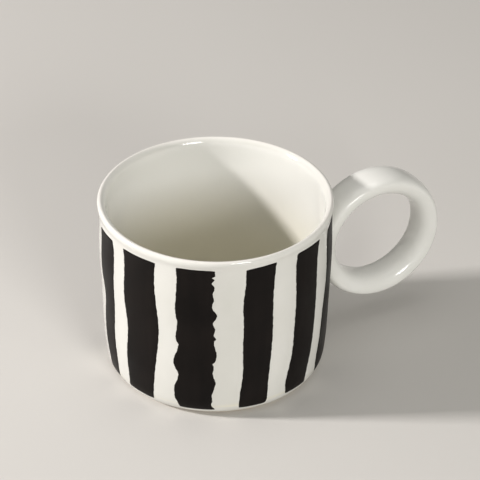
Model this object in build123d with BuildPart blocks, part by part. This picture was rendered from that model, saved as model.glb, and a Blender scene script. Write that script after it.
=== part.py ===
from build123d import *
from math import cos, radians, sin
import os

# A hand-made ceramic mug: a wide short cup, one full-ring handle luted to its wall, a gloss
# glaze that leaves the foot bare, and eleven black vertical stripes with uneven edges.
# Millimetres.  The origin is on the ground at the centre of the foot, +Z is up, and the ring
# stands out along +X.  Angles go round the cup from +X, counter-clockwise seen from above.

# ---------------------------------------------------------------- driving dimensions
RIM_RADIUS = 45.0             # outside of the glazed lip
HEIGHT = 73.0                 # ground to the top of the glazed lip
GLAZE = 0.3                   # thickness of the glaze coat
STRIPE_THICKNESS = 0.15       # how far a stripe stands proud of the glaze
STRIPE_PLANE_RADIUS = 36.0    # a stripe's outline is drawn this far from the axis, inside the wall

LIP_RADIUS = 1.2              # the lip is a round glazed bead
LIP_FLARE_ANGLE = -20.0       # where the flaring wall meets the bead, degrees below level

# The glazed outside of the wall is three arcs, each tangent to the last: (radius, height).
FOOT_EDGE_POINT = (38.4, 0.0)         # where it meets the ground
SHOULDER_POINT = (42.6, 8.4)          # the tight curve of the base ends here
THROAT_POINT = (44.35, 67.9)          # the wall is almost upright here, then flares to the lip
FOOT_LEAN = 49.2                      # how far the wall leans out at the ground, degrees
WALL_POINTS = [FOOT_EDGE_POINT, SHOULDER_POINT, THROAT_POINT]

# The glazed inside of the wall is a straight taper.
INSIDE_CORNER_POINT = (40.5, 12.5)    # top of the floor's rounded corner
FLOOR_HEIGHT = 5.5            # top of the glazed floor inside the cup
FLOOR_CORNER = 7.0            # radius where the glazed floor turns up into the wall

FOOT_INNER_RADIUS = 34.0      # the flat ring that the cup stands on
FOOT_EDGE = 0.5               # rounding of the foot ring's two edges
FOOT_WELL_DEPTH = 2.0         # recess inside the foot ring
BARE_FOOT_HEIGHT = 1.0        # the glaze stops this far above the ground
SECTION_ANGLE = 160.0         # where the cup's profile is drawn, between two stripes

RING_CENTRE_X = 69.3
RING_CENTRE_HEIGHT = 37.8
RING_HOLE_RADIUS = 18.4       # glazed
RING_OUTER_RADIUS = 26.65     # glazed
RING_SPINE_RADIUS = 23.85     # where the section is widest
RING_WIDTH = 14.3             # glazed, along the ring's axis
RING_SIDE_RADIUS = 2.2        # the rounded sides of the oval section
SLIP_THICKNESS = 0.4          # slip between the ring's cut end and the wall
JOINT_POOL = 0.7              # how far the glaze pooled in the joint's corner reaches

# ---------------------------------------------------------------- the stripes
# Each stripe: the angle of its middle, then its two long edges from bottom to top as
# (degrees from the middle, height).  The short ends are straight.
EDGE_SPANS = 9                # an edge with more points than this is drawn as several curves
STRIPES = [
    (177.0,
     [(-5.0, 3.8), (-5.7, 10), (-7.7, 20), (-7.6, 29), (-5.7, 40), (-9.0, 48), (-9.8, 57), (-10.0, 66.4)],
     [(5.2, 3.6), (5.7, 15), (5.2, 25), (6.5, 36), (6.8, 50), (7.3, 60), (6.0, 67.6)]),
    (203.0,
     [(-11.0, 3.8), (-10.2, 11), (-10.2, 21), (-8.7, 34), (-10.3, 46), (-10.1, 58), (-10.6, 68.2)],
     [(6.4, 3.5), (7.5, 11), (9.0, 20), (10.7, 30), (11.6, 40), (10.3, 52), (10.2, 68.5)]),
    (233.5,
     [(-9.0, 3.3), (-9.5, 4.8), (-11.3, 8.3), (-11.5, 11), (-10.8, 15), (-9.1, 18.5), (-9.3, 21),
      (-11.4, 24.5), (-10.6, 28.5), (-8.6, 34), (-9.9, 39), (-9.0, 44.5), (-9.8, 48), (-9.9, 52),
      (-9.2, 62), (-9.4, 69)],
     [(9.7, 3.3), (9.4, 4.2), (7.8, 6.2), (8.5, 8.2), (8.3, 10.2), (9.3, 14), (10.0, 18.2),
      (8.7, 21.8), (9.3, 24), (8.6, 26.3), (10.7, 30.6), (9.6, 35), (9.6, 37.2), (10.4, 38.2),
      (9.6, 39.4), (9.9, 43.2), (8.8, 45.2), (10.1, 47.2), (9.3, 51), (8.8, 54.4), (9.3, 56),
      (8.8, 59), (9.5, 62), (8.5, 63.8), (9.5, 65.2), (8.3, 66.0), (9.7, 66.6), (9.9, 67.4),
      (9.8, 69)]),
    (265.0,
     [(-9.2, 3.4), (-9.1, 9), (-7.8, 20), (-7.9, 33), (-7.8, 46), (-8.1, 52), (-7.1, 60), (-6.8, 68.5)],
     [(5.8, 3.4), (6.5, 8.5), (6.4, 11), (7.1, 23), (7.9, 37), (7.8, 55), (8.6, 63), (9.3, 69)]),
    (294.0,
     [(-10.5, 4.1), (-11.7, 9), (-10.9, 15), (-8.6, 24), (-7.9, 35), (-7.6, 50), (-7.8, 60), (-6.9, 68.7)],
     [(4.2, 3.9), (4.3, 9), (6.8, 20), (8.6, 32), (9.1, 46), (9.1, 56), (11.2, 68)]),
    (323.0,
     [(-13.7, 4.0), (-15.0, 12), (-13.0, 22), (-10.6, 34), (-8.1, 48), (-8.0, 60), (-7.2, 67.2)],
     [(3.0, 4.2), (2.4, 14), (5.6, 28), (9.2, 44), (10.4, 58), (11.6, 68.2)]),
    (29.0,
     [(-9.4, 3.6), (-8.2, 12), (-9.6, 25), (-8.8, 40), (-9.9, 54), (-8.9, 68.4)],
     [(8.1, 3.9), (9.2, 15), (8.0, 28), (9.3, 43), (8.4, 57), (9.6, 68.8)]),
    (58.0,
     [(-8.2, 3.9), (-9.6, 14), (-8.4, 24), (-9.8, 37), (-8.7, 52), (-9.3, 69.0)],
     [(9.3, 3.6), (7.9, 10), (9.4, 22), (8.3, 36), (9.5, 50), (9.0, 68.6)]),
    (86.5,
     [(-7.9, 3.5), (-8.8, 11), (-7.4, 26), (-9.1, 42), (-8.0, 58), (-8.7, 68.3)],
     [(8.6, 3.8), (7.6, 13), (9.4, 27), (8.9, 41), (7.5, 55), (8.6, 68.7)]),
    (115.0,
     [(-9.7, 4.0), (-8.1, 16), (-9.0, 30), (-7.8, 44), (-9.5, 57), (-9.2, 68.9)],
     [(7.7, 3.7), (9.0, 9), (8.3, 21), (9.8, 35), (9.0, 49), (8.2, 68.4)]),
    (143.5,
     [(-8.5, 3.7), (-9.9, 12), (-8.6, 27), (-9.4, 45), (-8.3, 59), (-9.0, 68.5)],
     [(7.0, 4.0), (8.4, 17), (7.2, 30), (8.6, 46), (7.9, 58), (8.5, 68.1)]),
]

os.makedirs("parts", exist_ok=True)


def save(solid, label):
    """Label a finished piece and write it to its own file."""
    solid.label = label
    export_step(solid, f"parts/{label}.step")


def section_plane():
    """The upright plane that the cup's profiles are drawn on, at a bare angle clear of the ring."""
    across = Vector(1, 0, 0).rotate(Axis.Z, SECTION_ANGLE)
    return Plane(origin=(0, 0, 0), x_dir=across, z_dir=across.rotate(Axis.Z, -90))


def on_bead(inset, degrees):
    """A point on the round bead of the lip, its glazed surface moved inwards by an inset."""
    centre = Vector(RIM_RADIUS - LIP_RADIUS, HEIGHT - LIP_RADIUS)
    return centre + Vector(cos(radians(degrees)), sin(radians(degrees))) * (LIP_RADIUS - inset)


def moved_in(point, inset):
    """A profile point, moved towards the axis."""
    return (point[0] - inset, point[1])


def outside_line(inset):
    """The cup's outside from the ground up to the bead, moved inwards by an inset."""
    foot = moved_in(FOOT_EDGE_POINT, inset)
    lean = (sin(radians(FOOT_LEAN)), cos(radians(FOOT_LEAN)))
    base = TangentArc(foot, moved_in(SHOULDER_POINT, inset), tangent=lean)
    wall = TangentArc(base @ 1, moved_in(THROAT_POINT, inset), tangent=base % 1)
    TangentArc(wall @ 1, on_bead(inset, LIP_FLARE_ANGLE), tangent=wall % 1)
    return foot


def wall_block(inset):
    """The cup's outside below the bead as a solid block, its wall moved inwards by an inset."""
    top = on_bead(inset, LIP_FLARE_ANGLE)
    with BuildPart() as block:
        with BuildSketch(section_plane()):
            with BuildLine():
                foot = outside_line(inset)
                Polyline(top, (0, top.Y), (0, 0), foot)
            make_face()
        revolve(axis=Axis.Z)
    return block.part


def cup_block(inset):
    """The whole cup with a solid foot, its glazed surface moved inwards by an inset."""
    lip_inside = on_bead(inset, 180)
    corner = moved_in(INSIDE_CORNER_POINT, -inset)
    corner_centre = moved_in(INSIDE_CORNER_POINT, FLOOR_CORNER)
    floor_height = FLOOR_HEIGHT - inset
    with BuildPart() as block:
        with BuildSketch(section_plane()):
            with BuildLine():
                foot = outside_line(inset)
                ThreePointArc(on_bead(inset, LIP_FLARE_ANGLE), on_bead(inset, 90), lip_inside)
                Line(lip_inside, corner)
                CenterArc(corner_centre, FLOOR_CORNER + inset, 0, -90)
                Polyline((corner_centre[0], floor_height), (0, floor_height), (0, 0), foot)
            make_face()
        revolve(axis=Axis.Z)
    return block.part


def face_arc(reach, side_radius):
    """The inner or outer face of the ring's section, tangent to its rounded sides."""
    side_centre = RING_WIDTH / 2 - RING_SIDE_RADIUS
    face_radius = (reach**2 + side_centre**2 - side_radius**2) / (2 * (reach - side_radius))
    away = face_radius / (face_radius - side_radius)
    end_out = (reach - face_radius) * (1 - away)
    end_across = side_centre * away
    return end_out, end_across


def ring_solid(inset):
    """The whole ring handle, its glazed surface moved inwards by an inset."""
    outer_reach = RING_OUTER_RADIUS - RING_SPINE_RADIUS - inset
    inner_reach = RING_SPINE_RADIUS - RING_HOLE_RADIUS - inset
    half_width = RING_WIDTH / 2 - inset
    outer_out, outer_across = face_arc(outer_reach, RING_SIDE_RADIUS - inset)
    inner_out, inner_across = face_arc(inner_reach, RING_SIDE_RADIUS - inset)
    ring_top = (RING_CENTRE_X, 0, RING_CENTRE_HEIGHT + RING_SPINE_RADIUS)
    with BuildPart() as ring:
        with BuildSketch(Plane(origin=ring_top, x_dir=(0, 0, 1), z_dir=(1, 0, 0))):
            with BuildLine():
                ThreePointArc((outer_out, -outer_across), (outer_reach, 0), (outer_out, outer_across))
                ThreePointArc((outer_out, outer_across), (0, half_width), (-inner_out, inner_across))
                ThreePointArc((-inner_out, inner_across), (-inner_reach, 0), (-inner_out, -inner_across))
                ThreePointArc((-inner_out, -inner_across), (0, -half_width), (outer_out, -outer_across))
            make_face()
        revolve(axis=Axis((RING_CENTRE_X, 0, RING_CENTRE_HEIGHT), (0, 1, 0)))
    return ring.part


# ---------------------------------------------------------------- shared solids
glazed_wall = wall_block(0)
clay_wall = wall_block(GLAZE)
slip_wall = wall_block(GLAZE - SLIP_THICKNESS)
striped_wall = wall_block(-STRIPE_THICKNESS)
clay_cup = cup_block(GLAZE)
glazed_ring = ring_solid(0)
clay_ring = ring_solid(GLAZE)

# ---------------------------------------------------------------- the clay cup
with BuildPart() as cup_body:
    add(clay_cup)
    with BuildSketch():
        Circle(FOOT_INNER_RADIUS)
    extrude(amount=FOOT_WELL_DEPTH, mode=Mode.SUBTRACT)
    foot_edges = cup_body.edges().filter_by(GeomType.CIRCLE).filter_by_position(Axis.Z, -0.01, 0.01)
    fillet(foot_edges, radius=FOOT_EDGE)
save(cup_body.part, "cup_body")

# ---------------------------------------------------------------- the ring handle and its slip
with BuildPart() as ring_handle:
    add(clay_ring)
    add(slip_wall, mode=Mode.SUBTRACT)
save(ring_handle.part, "ring_handle")

with BuildPart() as joint_slip:
    add(clay_ring)
    add(slip_wall, mode=Mode.INTERSECT)
    add(clay_wall, mode=Mode.SUBTRACT)
save(joint_slip.part, "joint_slip")

# ---------------------------------------------------------------- the glaze
with BuildPart() as cup_glaze:
    add(cup_block(0))
    add(clay_cup, mode=Mode.SUBTRACT)
    split(bisect_by=Plane.XY.offset(BARE_FOOT_HEIGHT), keep=Keep.TOP)
    add(clay_ring, mode=Mode.SUBTRACT)
save(cup_glaze.part, "cup_glaze")

with BuildPart() as handle_glaze:
    add(glazed_ring)
    add(clay_ring, mode=Mode.SUBTRACT)
    add(glazed_wall, mode=Mode.SUBTRACT)
save(handle_glaze.part, "handle_glaze")

with BuildPart() as joint_glaze_fillet:
    add(ring_solid(-JOINT_POOL))
    add(wall_block(-JOINT_POOL), mode=Mode.INTERSECT)
    add(glazed_wall, mode=Mode.SUBTRACT)
    add(glazed_ring, mode=Mode.SUBTRACT)
save(joint_glaze_fillet.part, "joint_glaze_fillet")

with BuildPart() as foot_well_glaze:
    with BuildSketch(Plane.XY.offset(FOOT_WELL_DEPTH)):
        Circle(FOOT_INNER_RADIUS - FOOT_EDGE)
    extrude(amount=-GLAZE)
save(foot_well_glaze.part, "foot_well_glaze")

# ---------------------------------------------------------------- the stripes
with BuildPart() as stripe_skin:
    add(striped_wall)
    add(glazed_wall, mode=Mode.SUBTRACT)


def wall_radius(height):
    """Radius of the glazed outside at a height, its arcs taken as parabolas."""
    for (low_radius, low), (high_radius, high) in zip(WALL_POINTS, WALL_POINTS[1:]):
        if height <= high:
            return high_radius - (high_radius - low_radius) * ((high - height) / (high - low)) ** 2
    return WALL_POINTS[-1][0]


def edge_points(edge):
    """A stripe's edge from (degrees, height) to millimetres on the stripe's upright plane."""
    return [(wall_radius(height) * sin(radians(degrees)), height) for degrees, height in edge]


def add_edge(points):
    """A stripe's edge as smooth curves end to end, each through a few of its points."""
    for start in range(0, len(points) - 1, EDGE_SPANS):
        Spline(points[start:start + EDGE_SPANS + 1])


for number, (middle, left_edge, right_edge) in enumerate(STRIPES, start=1):
    outwards = Vector(1, 0, 0).rotate(Axis.Z, middle)
    sideways = Vector(0, 1, 0).rotate(Axis.Z, middle)
    left = edge_points(left_edge)
    right = edge_points(right_edge)
    with BuildPart() as stripe:
        with BuildSketch(Plane(origin=outwards * STRIPE_PLANE_RADIUS, x_dir=sideways, z_dir=outwards)):
            with BuildLine():
                add_edge(left)
                add_edge(right)
                Line(left[0], right[0])
                Line(left[-1], right[-1])
            make_face()
        extrude(amount=RIM_RADIUS - STRIPE_PLANE_RADIUS)
        add(stripe_skin.part, mode=Mode.INTERSECT)
    save(stripe.part, f"stripe_{number:02d}")
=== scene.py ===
import math

import bpy
import numpy as np
from mathutils import Matrix, Vector

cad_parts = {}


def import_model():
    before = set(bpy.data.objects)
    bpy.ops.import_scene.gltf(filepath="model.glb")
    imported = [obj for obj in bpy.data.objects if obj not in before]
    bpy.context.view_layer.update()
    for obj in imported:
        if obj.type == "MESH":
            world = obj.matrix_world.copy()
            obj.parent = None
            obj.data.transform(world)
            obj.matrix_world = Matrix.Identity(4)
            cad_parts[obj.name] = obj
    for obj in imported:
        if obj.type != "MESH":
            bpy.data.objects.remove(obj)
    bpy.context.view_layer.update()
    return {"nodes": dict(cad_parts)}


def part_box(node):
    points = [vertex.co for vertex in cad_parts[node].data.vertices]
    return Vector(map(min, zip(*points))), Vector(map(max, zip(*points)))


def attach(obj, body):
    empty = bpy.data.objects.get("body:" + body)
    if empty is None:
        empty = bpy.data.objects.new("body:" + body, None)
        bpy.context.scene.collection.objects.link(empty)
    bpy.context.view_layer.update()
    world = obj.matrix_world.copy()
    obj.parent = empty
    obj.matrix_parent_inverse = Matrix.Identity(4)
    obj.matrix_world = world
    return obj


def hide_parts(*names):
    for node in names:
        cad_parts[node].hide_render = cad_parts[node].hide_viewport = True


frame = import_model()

# The looks of a hand-made striped mug with a full-ring handle.  Metres, in the part's own
# frame: the origin is under the middle of the foot, +Z is up and the ring is along +X.
# Angles go round the cup from +X, counter-clockwise seen from above.

MM = 0.001

# ---------------------------------------------------------------- sizes, in millimetres
# The glazed wall as (radius, height): its outside from the foot up, its inside from the lip down.
WALL_OUTSIDE = [(39.6, 1.3), (41.4, 3.6), (42.5, 8.75), (43.2, 16.0), (43.6, 25.5), (44.0, 36.5),
                (44.4, 47.4), (44.4, 58.4), (44.33, 65.0), (44.4, 67.5), (44.62, 69.7)]
WALL_INSIDE = [(41.7, 65.0), (41.45, 53.0), (41.2, 40.0), (40.85, 26.0), (40.5, 12.5)]
# The lip, as steps in from the rim's edge and down from its top: round outside, a soft slope inside.
LIP = [(0.0, 1.45), (0.10, 0.85), (0.38, 0.32), (0.80, 0.06), (1.20, 0.0), (1.70, 0.22), (2.20, 0.62),
       (2.62, 1.15), (2.95, 1.85), (3.15, 2.80), (3.25, 4.30)]
FLOOR_HEIGHT = 5.5            # top of the glazed floor inside the cup
FLOOR_CORNER = 7.0            # radius where the floor turns up into the wall
FLOOR_RADIUS = 33.5           # the flat of the floor inside that corner
FLOOR_DOME = 0.15             # how far the floor's middle rises
FOOT_RADIUS = 38.1            # the bare foot's outer edge
BARE_FOOT_HEIGHT = 1.0        # the glaze stops this far above the ground
STRIPE_THICKNESS = 0.15       # how far a stripe stands proud of the white
RING_SPINE_RADIUS = 23.85     # where the ring's section is widest
RING_HOLE_RADIUS = 18.4
RING_SQUARENESS = 2.4         # 2 would make the ring's section an ellipse
JOINT_POOL = 0.8              # how far the pool round the joint reaches

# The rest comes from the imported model.
_, CUP_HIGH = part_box("cup_glaze")
RING_LOW, RING_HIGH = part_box("handle_glaze")
RIM_RADIUS = CUP_HIGH.x / MM
HEIGHT = CUP_HIGH.z / MM
RING_OUTER_RADIUS = (RING_HIGH.z - RING_LOW.z) / 2 / MM
RING_CENTRE_HEIGHT = (RING_HIGH.z + RING_LOW.z) / 2 / MM
RING_CENTRE_X = RING_HIGH.x / MM - RING_OUTER_RADIUS
RING_HALF_WIDTH = (RING_HIGH.y - RING_LOW.y) / 2 / MM

# ---------------------------------------------------------------- the maker's hand
# Each wave: (turns round the cup, waves up the wall per 100 mm, phase in degrees, height in mm).
WALL_WAVES = [
    (2, 0.3, 40, 0.05),
    (3, 0.9, 200, 0.045),
    (5, -1.4, 75, 0.03),
    (7, 2.1, 310, 0.022),
    (9, -2.7, 150, 0.018),
    (12, 3.6, 15, 0.012),
    (14, 1.2, 245, 0.012),
]
# Soft dents and swells: (degrees round, height, half-width in degrees, half-height, depth in mm).
WALL_PRESSES = [
    (153, 37, 26, 8, -0.16),
    (153, 55, 30, 10, 0.10),
    (205, 58, 10, 9, -0.10),
    (203, 33, 9, 10, -0.08),
    (262, 40, 12, 16, 0.07),
]
WALL_LIMITS = (-0.18, 0.3)    # deeper dents would let the clay through
INSIDE_WAVES = [
    (2, 0.4, 120, 0.05),
    (3, -1.1, 20, 0.04),
    (4, 4.2, 260, 0.02),
    (6, 2.3, 170, 0.02),
]
RING_WAVES = [(2, 1, 30, 0.06), (3, 2, 140, 0.04), (5, 1, 250, 0.03), (7, 3, 80, 0.015)]


def waves(table, turn, climb):
    """The sum of a table of waves at an angle round and a distance along, both arrays."""
    total = np.zeros(np.broadcast(turn, climb).shape)
    for turns, per_hundred, phase, size in table:
        total += size * np.sin(turns * turn + per_hundred * math.tau * climb / 100 + math.radians(phase))
    return total


def wall_uneven(angle, height):
    """How far the outside of the wall stands off its smooth profile, in mm."""
    total = waves(WALL_WAVES, angle, height)
    for middle, level, half_turn, half_height, depth in WALL_PRESSES:
        turn = angle - math.radians(middle)
        away = np.degrees(np.arctan2(np.sin(turn), np.cos(turn)))
        total += depth * np.exp(-((away / half_turn) ** 2) - ((height - level) / half_height) ** 2)
    return np.clip(total, *WALL_LIMITS)


# ---------------------------------------------------------------- curves
def cubic_through(points, samples_per_span):
    """A smooth curve through points, as many samples in each span as the list says."""
    points = np.array(points, float)
    gaps = np.linalg.norm(np.diff(points, axis=0), axis=1)
    knots = np.concatenate([[0], np.cumsum(gaps)])
    count = len(points)
    system = np.eye(count)
    load = np.zeros((count, points.shape[1]))
    slopes = np.diff(points, axis=0) / gaps[:, None]
    for i in range(1, count - 1):
        system[i, i - 1:i + 2] = gaps[i - 1], 2 * (gaps[i - 1] + gaps[i]), gaps[i]
        load[i] = 6 * (slopes[i] - slopes[i - 1])
    bend = np.linalg.solve(system, load)
    rows = []
    for i, samples in enumerate(samples_per_span):
        at = np.linspace(0, gaps[i], samples, endpoint=False)[:, None]
        left, right = gaps[i] - at, at
        rows.append(
            (bend[i] * left ** 3 + bend[i + 1] * right ** 3) / (6 * gaps[i])
            + (points[i] / gaps[i] - bend[i] * gaps[i] / 6) * left
            + (points[i + 1] / gaps[i] - bend[i + 1] * gaps[i] / 6) * right
        )
    rows.append(points[-1:])
    return np.concatenate(rows)


def arc(centre, radius, start, end, steps):
    """Points on an arc, angles in degrees, both ends included."""
    angles = np.radians(np.linspace(start, end, steps))
    return [(centre[0] + radius * math.cos(a), centre[1] + radius * math.sin(a)) for a in angles]


def spans(points, spacing):
    """How many samples each span of a list of points needs at a spacing in mm."""
    lengths = np.linalg.norm(np.diff(np.array(points, float), axis=0), axis=1)
    return [max(1, round(length / spacing)) for length in lengths]


def cup_profile():
    """(radius, height) rows of the glazed surface, from the bare foot over the lip to the floor's middle."""
    foot = [(FOOT_RADIUS + 0.45, BARE_FOOT_HEIGHT + 0.02), (FOOT_RADIUS + 0.95, BARE_FOOT_HEIGHT + 0.05)]
    lip = [(RIM_RADIUS - step_in, HEIGHT - step_down) for step_in, step_down in LIP]
    corner_centre = (WALL_INSIDE[-1][0] - FLOOR_CORNER, FLOOR_HEIGHT + FLOOR_CORNER)
    corner = arc(corner_centre, FLOOR_CORNER, -22, -90, 4)
    floor = [(radius, FLOOR_HEIGHT + FLOOR_DOME * (1 - radius / FLOOR_RADIUS)) for radius in (26, 17, 8, 0.0)]
    # Each group of points has its own spacing of rows, finest where the section curves most.
    groups = [(foot, 0.2), (WALL_OUTSIDE, 0.7), (lip, 0.25), (WALL_INSIDE, 0.9), (corner, 0.8), (floor, 1.4)]
    points, counts = [], []
    for group, spacing in groups:
        counts += spans(points[-1:] + group, spacing)
        points += group
    return cubic_through(points, counts)


PROFILE = cup_profile()
LIP_ROW = int(np.argmax(PROFILE[:, 1]))       # the row at the top of the lip


def wall_radius(angle, height):
    """Radius of the glazed outside of the wall, with its unevenness, in mm."""
    outside = PROFILE[:LIP_ROW]
    widest = int(np.argmax(outside[:, 0]))
    return np.interp(height, outside[:widest, 1], outside[:widest, 0]) + wall_uneven(angle, height)


# ---------------------------------------------------------------- mesh helpers
def mesh_object(name, vertices, faces):
    """A smooth-shaded mesh object from vertices in millimetres."""
    mesh = bpy.data.meshes.new(name)
    mesh.from_pydata((np.asarray(vertices) * MM).tolist(), [], faces)
    mesh.validate()
    mesh.shade_smooth()
    made = bpy.data.objects.new(name, mesh)
    bpy.context.scene.collection.objects.link(made)
    return made


def grid_faces(rows, columns, wrap_rows=False, wrap_columns=False):
    """Quads between the rows and columns of a grid of vertices."""
    row_steps = rows if wrap_rows else rows - 1
    column_steps = columns if wrap_columns else columns - 1
    faces = []
    for row in range(row_steps):
        low, high = row * columns, ((row + 1) % rows) * columns
        for column in range(column_steps):
            right = (column + 1) % columns
            faces.append((low + column, low + right, high + right, high + column))
    return faces


def around_axis(radius, angle, height):
    """Points from cylinder coordinates in mm and radians."""
    return np.stack(np.broadcast_arrays(radius * np.cos(angle), radius * np.sin(angle), height), axis=-1)


def turned(name, profile, segments, uneven):
    """A closed solid of revolution, its profile from axis to axis, its rings moved by a function."""
    rings = profile[1:-1]
    angle = np.linspace(0, math.tau, segments, endpoint=False)[None, :]
    row = np.arange(1, len(profile) - 1)[:, None]
    out, up = uneven(angle, row)
    points = around_axis(rings[:, :1] + out, angle, rings[:, 1:] + up)
    vertices = np.concatenate([points.reshape(-1, 3), [[0, 0, profile[0, 1]], [0, 0, profile[-1, 1]]]])
    faces = grid_faces(len(rings), segments, wrap_columns=True)
    start, end = len(vertices) - 2, len(vertices) - 1
    last = (len(rings) - 1) * segments
    for column in range(segments):
        right = (column + 1) % segments
        faces.append((start, right, column))
        faces.append((end, last + column, last + right))
    return mesh_object(name, vertices, faces)


def sheet_solid(name, face, back):
    """A closed sheet from two grids of points with the same rows and columns."""
    rows, columns = face.shape[:2]
    count = rows * columns
    index = np.arange(count).reshape(rows, columns)
    rim = [*index[0, :-1], *index[:-1, -1], *index[-1, :0:-1], *index[:0:-1, 0]]
    faces = grid_faces(rows, columns)
    faces += [tuple(corner + count for corner in reversed(quad)) for quad in faces]
    for here, there in zip(rim, rim[1:] + rim[:1]):
        faces.append((int(there), int(here), int(here) + count, int(there) + count))
    vertices = np.concatenate([face.reshape(-1, 3), back.reshape(-1, 3)])
    return mesh_object(name, vertices, faces)


def finish_piece(piece, material, slot, *nodes):
    """Give a piece its material and put it in place of its CAD nodes; the slot is not used."""
    piece.data.materials.append(material)
    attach(piece, "root")
    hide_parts(*nodes)


# ---------------------------------------------------------------- materials
def new_material(name, **values):
    """A material, its plain values set on the shader's own sockets."""
    material = bpy.data.materials.new(name)
    material.use_nodes = True
    shader = material.node_tree.nodes["Principled BSDF"]
    for label, value in values.items():
        shader.inputs[label.replace("_", " ")].default_value = value
    return material


def add_node(material, kind, **inputs):
    """A node with its inputs set, or linked where the value is another node's output."""
    made = material.node_tree.nodes.new(kind)
    for label, value in inputs.items():
        socket = made.inputs[label.replace("_", " ")]
        if isinstance(value, bpy.types.NodeSocket):
            material.node_tree.links.new(value, socket)
        else:
            socket.default_value = value
    return made


def noise(material, scale, detail=2.0, stretch=(1.0, 1.0, 1.0), shift=0.0):
    """Noise in the part's own coordinates.  The scale is in features per metre."""
    place = add_node(material, "ShaderNodeTexCoord")
    mapped = add_node(
        material, "ShaderNodeMapping", Vector=place.outputs["Object"], Scale=stretch, Location=(shift, 0, 0)
    )
    made = add_node(
        material, "ShaderNodeTexNoise", Vector=mapped.outputs["Vector"], Scale=scale, Detail=detail
    )
    return made.outputs["Fac"]


def height_above(material, low, high):
    """0 below one height of the part and 1 above another, in mm, smooth between them."""
    place = add_node(material, "ShaderNodeTexCoord")
    parts = add_node(material, "ShaderNodeSeparateXYZ", Vector=place.outputs["Object"])
    made = add_node(
        material, "ShaderNodeMapRange", Value=parts.outputs["Z"], From_Min=low * MM, From_Max=high * MM
    )
    made.interpolation_type = "SMOOTHSTEP"
    return made.outputs["Result"]


def outside_radius(material, near, far):
    """0 nearer the cup's axis than one radius and 1 farther than another, in mm."""
    place = add_node(material, "ShaderNodeTexCoord")
    flat = add_node(material, "ShaderNodeVectorMath", Vector=place.outputs["Object"])
    flat.operation = "MULTIPLY"
    flat.inputs[1].default_value = (1, 1, 0)
    reach = add_node(material, "ShaderNodeVectorMath", Vector=flat.outputs["Vector"])
    reach.operation = "LENGTH"
    made = add_node(
        material, "ShaderNodeMapRange", Value=reach.outputs["Value"], From_Min=near * MM, From_Max=far * MM
    )
    return made.outputs["Result"]


def between(material, factor, low, high):
    """A factor's middle range spread over two values."""
    made = add_node(
        material, "ShaderNodeMapRange", Value=factor, From_Min=0.3, From_Max=0.7, To_Min=low, To_Max=high
    )
    return made.outputs["Result"]


def ramp(material, factor, *stops):
    """Colours along a factor, each stop given as (place, colour)."""
    made = add_node(material, "ShaderNodeValToRGB", Fac=factor)
    elements = made.color_ramp.elements
    while len(elements) < len(stops):
        elements.new(0.5)
    for element, (place, colour) in zip(elements, stops):
        element.position = place
        element.color = (*colour, 1)
    return made.outputs["Color"]


def mixed(material, factor, first, second):
    """Two colours mixed by a factor."""
    made = material.node_tree.nodes.new("ShaderNodeMix")
    made.data_type = "RGBA"
    by_kind = {socket.identifier: socket for socket in made.inputs}
    for label, value in (("Factor_Float", factor), ("A_Color", first), ("B_Color", second)):
        if isinstance(value, bpy.types.NodeSocket):
            material.node_tree.links.new(value, by_kind[label])
        elif label == "Factor_Float":
            by_kind[label].default_value = value
        else:
            by_kind[label].default_value = (*value, 1)
    return next(socket for socket in made.outputs if socket.identifier == "Result_Color")


def bump(material, *layers):
    """A normal from layers of relief, each given as (factor, depth in mm)."""
    normal = None
    for factor, depth in layers:
        inputs = {"Height": factor, "Distance": depth * MM}
        if normal is not None:
            inputs["Normal"] = normal
        normal = add_node(material, "ShaderNodeBump", **inputs).outputs["Normal"]
    return normal


def connect(material, **outputs):
    """Link node outputs to the shader's inputs."""
    shader = material.node_tree.nodes["Principled BSDF"]
    for label, output in outputs.items():
        material.node_tree.links.new(output, shader.inputs[label.replace("_", " ")])


def white_glaze():
    """Gloss white over pale clay: faint clouding, a soft orange-peel face, warmer where it thins at the lip,
    with painted light on the ring and inside the cup, and painted warm shade low inside.
    """
    made = new_material("white_glaze", IOR=1.5, Specular_IOR_Level=0.5)
    patches = noise(made, 55, 3)
    # The ring is painted whiter than the wall: painted light, so the ring looks more brightly lit than the
    # wall.
    wall = ramp(made, patches, (0.3, (0.68, 0.677, 0.635)), (0.7, (0.72, 0.717, 0.68)))
    ring = ramp(made, patches, (0.3, (0.79, 0.79, 0.755)), (0.7, (0.83, 0.83, 0.795)))
    outside = mixed(made, outside_radius(made, 46, 52), wall, ring)
    # Inside the cup it is painted whiter, as painted light, and lower down a darker, warmer white, as painted
    # shade and painted warm bounce light.
    inside = mixed(made, height_above(made, 22, 62), (0.745, 0.718, 0.605), (0.77, 0.77, 0.74))
    coat = mixed(made, outside_radius(made, 41.8, 42.2), inside, outside)
    # Below the floor there is only the outside, which narrows to the foot.
    coat = mixed(made, height_above(made, 4.6, 5.4), outside, coat)
    thin_lip = height_above(made, HEIGHT - 1.2, HEIGHT + 0.4)
    colour = mixed(made, thin_lip, coat, (0.79, 0.77, 0.73))
    gloss = between(made, noise(made, 140, 4, shift=3.0), 0.05, 0.10)
    relief = bump(made, (noise(made, 170, 1), 0.05), (noise(made, 620, 2, shift=7.0), 0.012))
    connect(made, Base_Color=colour, Roughness=gloss, Normal=relief)
    return made


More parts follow.
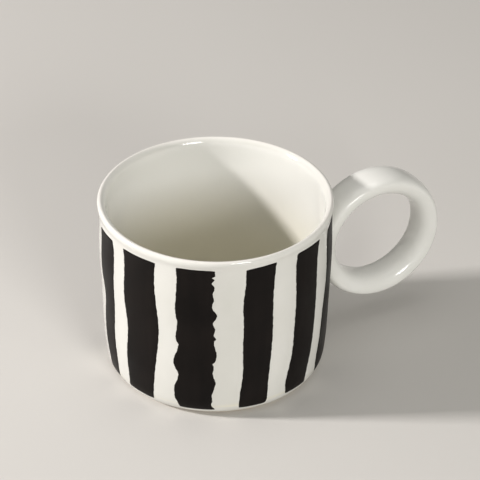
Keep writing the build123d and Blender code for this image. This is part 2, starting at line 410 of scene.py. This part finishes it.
def black_glaze():
    """Brushed black glaze: brown-black, uneven in depth and gloss, with strokes that run up the wall."""
    made = new_material("black_glaze", IOR=1.5, Specular_IOR_Level=0.12)
    strokes = noise(made, 260, 4, stretch=(1, 1, 0.09))
    mottle = noise(made, 75, 3, shift=5.0)
    deep = ramp(made, mottle, (0.35, (0.0025, 0.0016, 0.0013)), (0.7, (0.005, 0.0033, 0.0028)))
    thin = ramp(made, mottle, (0.35, (0.005, 0.0033, 0.0028)), (0.7, (0.009, 0.0062, 0.0052)))
    colour = mixed(made, between(made, strokes, 0, 1), deep, thin)
    gloss = between(made, mottle, 0.40, 0.54)
    relief = bump(made, (strokes, 0.03), (noise(made, 900, 2), 0.006))
    connect(made, Base_Color=colour, Roughness=gloss, Normal=relief)
    return made


def bare_clay():
    """Fired white clay without glaze: matt, slightly buff, with fine grit and a few specks."""
    made = new_material("bare_clay", IOR=1.5, Specular_IOR_Level=0.3)
    body = ramp(made, noise(made, 90, 4), (0.3, (0.60, 0.53, 0.43)), (0.7, (0.69, 0.63, 0.53)))
    speck = ramp(made, noise(made, 1900, 1, shift=2.0), (0.70, (0, 0, 0)), (0.76, (1, 1, 1)))
    colour = mixed(made, speck, body, (0.40, 0.30, 0.21))
    rough = between(made, noise(made, 700, 3), 0.72, 0.92)
    relief = bump(made, (noise(made, 1500, 4), 0.06), (noise(made, 320, 2), 0.05))
    connect(made, Base_Color=colour, Roughness=rough, Normal=relief)
    return made


def pale_floor():
    """Plain pale matt paper."""
    made = new_material("pale_floor", Specular_IOR_Level=0.2)
    tone = ramp(made, noise(made, 3, 2), (0.3, (0.60, 0.585, 0.56)), (0.7, (0.63, 0.615, 0.59)))
    rough = between(made, noise(made, 500, 2), 0.75, 0.9)
    connect(made, Base_Color=tone, Roughness=rough, Normal=bump(made, (noise(made, 1200, 3), 0.03)))
    return made


WHITE = white_glaze()
BLACK = black_glaze()
CLAY = bare_clay()

# ---------------------------------------------------------------- the clay under the glaze
for name in ("cup_body", "ring_handle", "joint_slip"):
    for clay_slot in frame["nodes"][name].material_slots:
        clay_slot.material = CLAY

# ---------------------------------------------------------------- the cup's glaze
COAT_BACK = 0.28              # how deep the coat's back lies, just off the clay
COAT_BACK_STEP = 4            # the hidden back has one row for this many of the face's
COAT_SEGMENTS = 320
LIP_WAVES = [(2, 0, 60, 0.04), (3, 0, 190, 0.03), (5, 0, 310, 0.02)]
LIP_BLEND_ROWS = 16           # rows over which the outside's waves turn into the inside's


def coat_rows():
    """The glaze's closed section, and which row of the profile each point belongs to."""
    along = np.gradient(PROFILE, axis=0)
    inwards = np.stack([-along[:, 1], along[:, 0]], axis=1) / np.linalg.norm(along, axis=1)[:, None]
    back = PROFILE + inwards * COAT_BACK
    back[-1, 0] = 0
    first = int(np.argmax(PROFILE[:, 1] > 2 * BARE_FOOT_HEIGHT))
    order = np.arange(len(PROFILE) - 1, first, -COAT_BACK_STEP)
    source = np.concatenate([order, np.arange(len(PROFILE))])
    return np.concatenate([back[order], PROFILE]), source


def cup_uneven(angle, row):
    """How far the glazed surface stands off the rows of the profile: outwards and upwards, in mm."""
    radius, height = PROFILE[row, 0], PROFILE[row, 1]
    inside = np.clip((row - LIP_ROW) / LIP_BLEND_ROWS + 0.5, 0, 1)
    inside = inside * inside * (3 - 2 * inside)
    out = (1 - inside) * wall_uneven(angle, height) + inside * waves(INSIDE_WAVES, angle, height)
    near_lip = np.exp(-(((HEIGHT - height) / 5) ** 2))
    return out * np.clip(radius / 25, 0, 1), near_lip * waves(LIP_WAVES, angle, 0)


def cup_coat():
    """The gloss coat over the whole cup, down to the bare foot."""
    section, source = coat_rows()
    piece = turned("glaze_coat", section, COAT_SEGMENTS, lambda angle, row: cup_uneven(angle, source[row]))
    finish_piece(piece, WHITE, "white_glaze", "cup_glaze")


cup_coat()

# ---------------------------------------------------------------- the ring's glaze
RING_OUTER_REACH = RING_OUTER_RADIUS - RING_SPINE_RADIUS
RING_INNER_REACH = RING_SPINE_RADIUS - RING_HOLE_RADIUS
RING_STEPS_ROUND = 320
RING_STEPS_ACROSS = 64


def ring_waves(turn, section):
    """How far the ring's glaze stands off its smooth shape, in mm."""
    return waves(RING_WAVES, turn, section * 100 / math.tau)


def ring_coat():
    """The gloss coat round the ring, an oval that is flatter on the outside of the ring."""
    turn = np.linspace(0, math.tau, RING_STEPS_ROUND, endpoint=False)[:, None]
    section = np.linspace(0, math.tau, RING_STEPS_ACROSS, endpoint=False)[None, :]
    power = 2 / RING_SQUARENESS
    out = np.sign(np.cos(section)) * np.abs(np.cos(section)) ** power
    out = out * np.where(out > 0, RING_OUTER_REACH, RING_INNER_REACH)
    across = np.sign(np.sin(section)) * np.abs(np.sin(section)) ** power * RING_HALF_WIDTH
    swell = 1 + ring_waves(turn, section) / np.hypot(out, across)
    radius = RING_SPINE_RADIUS + out * swell
    x = RING_CENTRE_X + radius * np.cos(turn)
    z = RING_CENTRE_HEIGHT + radius * np.sin(turn)
    points = np.stack([x, np.broadcast_to(across * swell, x.shape), z], axis=-1).reshape(-1, 3)
    faces = grid_faces(RING_STEPS_ROUND, RING_STEPS_ACROSS, wrap_rows=True, wrap_columns=True)
    finish_piece(mesh_object("ring_coat", points, faces), WHITE, "white_glaze", "handle_glaze")


ring_coat()

# ---------------------------------------------------------------- the glaze pooled round the joint
JOINT_DIRECTIONS = 240
JOINT_STEPS = 10
JOINT_FEATHER = 0.03          # how far the pool's thin edges sink into the coats
JOINT_DEPTH = 0.2             # how far its hidden back lies under each coat
JOINT_SEARCH = 19.0           # the joint's corner is nearer to its middle than this


def wall_distance(points):
    """Distance of points in front of the cup's glazed wall, in mm."""
    angle = np.arctan2(points[..., 1], points[..., 0])
    return np.hypot(points[..., 0], points[..., 1]) - wall_radius(angle, points[..., 2])


def ring_distance(points):
    """Distance of points off the ring's glazed surface, negative inside it, in mm."""
    aside = points[..., 0] - RING_CENTRE_X
    across = points[..., 1]
    above = points[..., 2] - RING_CENTRE_HEIGHT
    out = np.hypot(aside, above) - RING_SPINE_RADIUS
    out_share = out / np.where(out > 0, RING_OUTER_REACH, RING_INNER_REACH)
    across_share = across / RING_HALF_WIDTH
    powers = np.abs(out_share) ** RING_SQUARENESS + np.abs(across_share) ** RING_SQUARENESS
    level = powers ** (1 / RING_SQUARENESS)
    section = np.arctan2(across_share, out_share)
    return (1 - 1 / level) * np.hypot(out, across) - ring_waves(np.arctan2(above, aside), section)


def slope(distance, points):
    """The unit direction in which a distance grows fastest."""
    step = 0.01
    steps = np.eye(3) * step
    grown = np.stack([distance(points + steps[i]) - distance(points - steps[i]) for i in range(3)], axis=-1)
    return grown / np.linalg.norm(grown, axis=-1, keepdims=True)


def settled(distance, points):
    """Points moved on to a surface."""
    for _ in range(6):
        points = points - distance(points)[..., None] * slope(distance, points)
    return points


def contact(start, surface, other, reach):
    """Points on a surface, beside a corner that it makes with another, a given distance off the other."""
    own, away = slope(surface, start), slope(other, start)
    along = away - (away * own).sum(-1, keepdims=True) * own
    along = along / np.linalg.norm(along, axis=-1, keepdims=True)
    travel = np.array(reach)
    for _ in range(8):
        points = settled(surface, start + along * travel[:, None])
        travel = travel * np.clip(reach / np.maximum(other(points), 0.05), 0.6, 1.7)
    return points


def joint_corner(direction):
    """Where the ring's surface meets the wall, in each direction round the middle of the joint."""
    near = np.zeros_like(direction)
    far = np.full_like(direction, JOINT_SEARCH)
    for _ in range(40):
        middle = (near + far) / 2
        angle = middle * np.cos(direction) / wall_radius(0.0, RING_CENTRE_HEIGHT)
        height = RING_CENTRE_HEIGHT + middle * np.sin(direction)
        points = around_axis(wall_radius(angle, height), angle, height)
        inside = ring_distance(points) < 0
        near = np.where(inside, middle, near)
        far = np.where(inside, far, middle)
    return points


def joint_pool():
    """A soft hollow bead of glaze all the way round the joint."""
    direction = np.linspace(0, math.tau, JOINT_DIRECTIONS, endpoint=False)
    corner = joint_corner(direction)
    reach = JOINT_POOL * (1 + 0.12 * np.sin(3 * direction + 1) + 0.08 * np.sin(7 * direction))
    on_wall = contact(corner, wall_distance, ring_distance, reach)
    on_ring = contact(corner, ring_distance, wall_distance, reach)
    share = np.linspace(0, 1, JOINT_STEPS)[None, :, None]
    ring_end = (on_ring - JOINT_FEATHER * slope(ring_distance, on_ring))[:, None]
    wall_end = (on_wall - JOINT_FEATHER * slope(wall_distance, on_wall))[:, None]
    hollow = (1 - share) ** 2 * ring_end + 2 * share * (1 - share) * corner[:, None] + share ** 2 * wall_end
    deep = corner - JOINT_DEPTH * slope(wall_distance, corner) - JOINT_DEPTH * slope(ring_distance, corner)
    grid = np.concatenate([hollow, deep[:, None]], axis=1)
    faces = grid_faces(JOINT_DIRECTIONS, JOINT_STEPS + 1, wrap_rows=True, wrap_columns=True)
    piece = mesh_object("joint_glaze_pool", grid.reshape(-1, 3), faces)
    finish_piece(piece, WHITE, "white_glaze", "joint_glaze_fillet")


joint_pool()

# ---------------------------------------------------------------- the glazed hollow under the foot
def foot_glaze():
    """The thin coat inside the foot ring, its edge drawn back a little unevenly."""
    low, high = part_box("foot_well_glaze")
    reach, face, back = high.x / MM, low.z / MM, high.z / MM + 0.02
    edge = arc((reach - 0.35, face + 0.3), 0.3, -90, 0, 5)
    flat = [(radius, face) for radius in range(3, 31, 3)]
    section = np.array([(0, face), *flat, *edge, (reach - 0.05, back), (0, back)])

    def uneven(angle, row):
        radius = section[row, 0]
        out = np.clip((radius - 25) / 8, 0, 1) * waves([(3, 0, 40, 0.12), (7, 0, 200, 0.07)], angle, 0)
        ripple = waves([(2, 9, 70, 0.03), (5, 14, 10, 0.015)], angle, radius)
        return out, ripple * np.clip(radius / 10, 0, 1) * (section[row, 1] < back)

    finish_piece(turned("foot_well_coat", section, 180, uneven), WHITE, "white_glaze", "foot_well_glaze")


foot_glaze()

# ---------------------------------------------------------------- the painted stripes
STRIPE_EDGE = 0.4             # how far in from its edge a stripe reaches its full thickness
STRIPE_SUNK = 0.03            # its very edge sinks this far into the white coat
STRIPE_BACK = 0.12            # how deep its hidden back lies in the white coat
# Where a stripe's columns of vertices lie across it, closest at its edges.
STRIPE_COLUMNS = np.array([0, 0.012, 0.03, *np.linspace(0.08, 0.92, 15), 0.97, 0.988, 1.0])
STRIPE_ROW = 0.5              # mm between rows
TORN_ROW = 0.22               # finer on the stripe with the torn edge
TORN_STRIPE = "stripe_03"
STRIPE_CORNER = 0.3           # how far the corners of a stripe's ends are rounded back
STRIPE_CORNER_REACH = 1.2     # mm from an end over which that rounding fades
STRIPE_CREEP = 0.45           # how far the wet glaze crept up past a stripe's straight top end
STRIPE_CREEP_REACH = 2.0      # mm from the top end over which that fades
# The brush's small wobbles along the long edges: (radians per mm, phase step, size in mm).
EDGE_WOBBLES = [(1.3, 2.1, 0.07), (2.9, 0.7, 0.05), (5.3, 3.9, 0.035), (8.7, 1.3, 0.02)]
RIGHT_EDGE_SEED = 20          # added to a stripe's number, so its two edges wobble apart


def outline(cad_node):
    """A stripe's middle angle, and a function that gives its two long edges at shares of its length."""
    mesh = cad_node.data
    points = np.array([vertex.co for vertex in mesh.vertices]) / MM
    edges = np.array([edge.vertices for edge in mesh.edges])
    middle = math.atan2(points[:, 1].mean(), points[:, 0].mean())
    angle = np.arctan2(points[:, 1], points[:, 0]) - middle
    angle = np.arctan2(np.sin(angle), np.cos(angle))
    height = points[:, 2]
    across = angle * np.hypot(points[:, 0], points[:, 1])
    corners = {
        "left": (height[np.argmin(across + height)], height[np.argmin(across - height)]),
        "right": (height[np.argmax(across - height)], height[np.argmax(across + height)]),
    }

    def side(name, pick, shares):
        start, end = corners[name]
        levels = np.clip(start + (end - start) * shares, start + 0.02, end - 0.02)
        first, second = edges[:, 0], edges[:, 1]
        angles = []
        for level in levels:
            crosses = (height[first] - level) * (height[second] - level) <= 0
            a, b = first[crosses], second[crosses]
            rise = height[b] - height[a]
            share = np.clip((level - height[a]) / np.where(rise == 0, 1, rise), 0, 1)
            angles.append(pick(angle[a] + share * (angle[b] - angle[a])))
        return np.array(angles), levels

    return middle, lambda shares: (side("left", np.min, shares), side("right", np.max, shares))


def wobble(height, seed):
    """How far a brushed edge strays sideways at a height, in mm."""
    total = np.zeros_like(height)
    for rate, phase, size in EDGE_WOBBLES:
        total += size * np.sin(rate * height + phase * seed + np.sin(0.37 * height * rate + seed))
    return total


def stripe_piece(name):
    """One brushed stripe, lying on the uneven wall inside the outline of its CAD node."""
    cad_node = frame["nodes"][name]
    low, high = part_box(name)
    length = (high.z - low.z) / MM
    rows = round(length / (TORN_ROW if name == TORN_STRIPE else STRIPE_ROW))
    shares = np.linspace(0, 1, rows)
    middle, edges = outline(cad_node)
    (left, left_height), (right, right_height) = edges(shares)
    number = int(name[-2:])
    left = left + wobble(left_height, number) / RIM_RADIUS
    right = right + wobble(right_height, number + RIGHT_EDGE_SEED) / RIM_RADIUS
    column = STRIPE_COLUMNS[None, :]
    angle = middle + left[:, None] + (right - left)[:, None] * column
    height = left_height[:, None] + (right_height - left_height)[:, None] * column
    from_bottom, from_top = shares[:, None] * length, (1 - shares[:, None]) * length
    rounding = STRIPE_CORNER * np.abs(2 * column - 1) ** 7
    fading = np.exp(-from_bottom / STRIPE_CORNER_REACH) - np.exp(-from_top / STRIPE_CORNER_REACH)
    height = height + rounding * fading
    height = height + STRIPE_CREEP * np.exp(-from_top / STRIPE_CREEP_REACH)
    width = (right - left)[:, None] * RIM_RADIUS
    depth_in = np.minimum(np.minimum(column, 1 - column) * width, np.minimum(from_bottom, from_top))
    fullness = np.sqrt(1 - (1 - np.clip(depth_in / STRIPE_EDGE, 0, 1)) ** 2)
    lift = STRIPE_THICKNESS * fullness - STRIPE_SUNK * (1 - fullness)
    surface = wall_radius(angle, height)
    face = around_axis(surface + lift, angle, height)
    back = around_axis(surface - STRIPE_BACK, angle, height)
    finish_piece(sheet_solid(f"painted_{name}", face, back), BLACK, "black_glaze", name)


for name in sorted(frame["nodes"]):
    if name.startswith("stripe_"):
        stripe_piece(name)

# ---------------------------------------------------------------- floor, lights and camera
VIEW_AZIMUTH = math.radians(-27.0)            # 0 looks along +Y, with +X to the right
VIEW_ELEVATION = math.radians(33.59)
VIEW_ROLL = math.radians(0.376)
VIEW_DISTANCE = 1285.7        # mm from the point it aims at
AIM_RIGHT = 9.34              # it aims this far right of the middle of the foot, in mm
AIM_UP = 44.7                 # and this far above it in the picture
LENS = 246.06
SENSOR = 36.0
LAMP_AIM = Vector((0, 0, 0.04))

# The picture's left, and the level direction towards the camera.
LEFT = Matrix.Rotation(VIEW_AZIMUTH, 3, "Z") @ Vector((-1, 0, 0))
TOWARDS = Matrix.Rotation(VIEW_AZIMUTH, 3, "Z") @ Vector((0, -1, 0))


def floor():
    """A wide flat pale floor."""
    half, steps = 4000.0, 9
    line = np.linspace(-half, half, steps)
    x, y = np.meshgrid(line, line)
    points = np.stack([x, y, np.zeros_like(x)], axis=-1).reshape(-1, 3)
    made = mesh_object("floor", points, grid_faces(steps, steps))
    made.data.materials.append(pale_floor())


def soft_light(name, left, towards, up, size, power, colour):
    """A square lamp that faces the cup, placed in metres left of it, towards the camera and up."""
    place = LEFT * left + TOWARDS * towards + Vector((0, 0, up))
    data = bpy.data.lights.new(name, "AREA")
    data.size = size
    data.energy = power
    data.color = colour
    made = bpy.data.objects.new(name, data)
    made.location = place
    made.rotation_euler = (-(place - LAMP_AIM)).to_track_quat("-Z", "Y").to_euler()
    bpy.context.scene.collection.objects.link(made)


def camera():
    """The camera, a long lens from above the front left of the ring."""
    data = bpy.data.cameras.new("camera")
    data.lens = LENS
    data.sensor_width = SENSOR
    data.clip_end = 50
    turn = Matrix.Rotation(VIEW_AZIMUTH, 4, "Z") @ Matrix.Rotation(math.pi / 2 - VIEW_ELEVATION, 4, "X")
    aim = Vector((AIM_RIGHT, AIM_UP, VIEW_DISTANCE)) * MM
    made = bpy.data.objects.new("camera", data)
    made.matrix_world = Matrix.Translation(turn @ aim) @ turn @ Matrix.Rotation(VIEW_ROLL, 4, "Z")
    bpy.context.scene.collection.objects.link(made)
    bpy.context.scene.camera = made


def world():
    """An even pale sky."""
    made = bpy.data.worlds.new("studio")
    made.use_nodes = True
    background = made.node_tree.nodes["Background"]
    background.inputs["Color"].default_value = (1.0, 0.97, 0.91, 1)
    background.inputs["Strength"].default_value = 0.26
    bpy.context.scene.world = made


floor()
soft_light("key", 1.06, 0.087, 0.61, size=0.11, power=15.8, colour=(1.0, 0.965, 0.95))
soft_light("ceiling", 0, 0, 1.2, size=0.8, power=1.9, colour=(1.0, 0.98, 0.95))
soft_light("fill", -0.62, 1.36, 0.58, size=0.5, power=13.0, colour=(1.0, 0.985, 0.955))
world()
camera()
bpy.context.scene.view_settings.view_transform = "Standard"
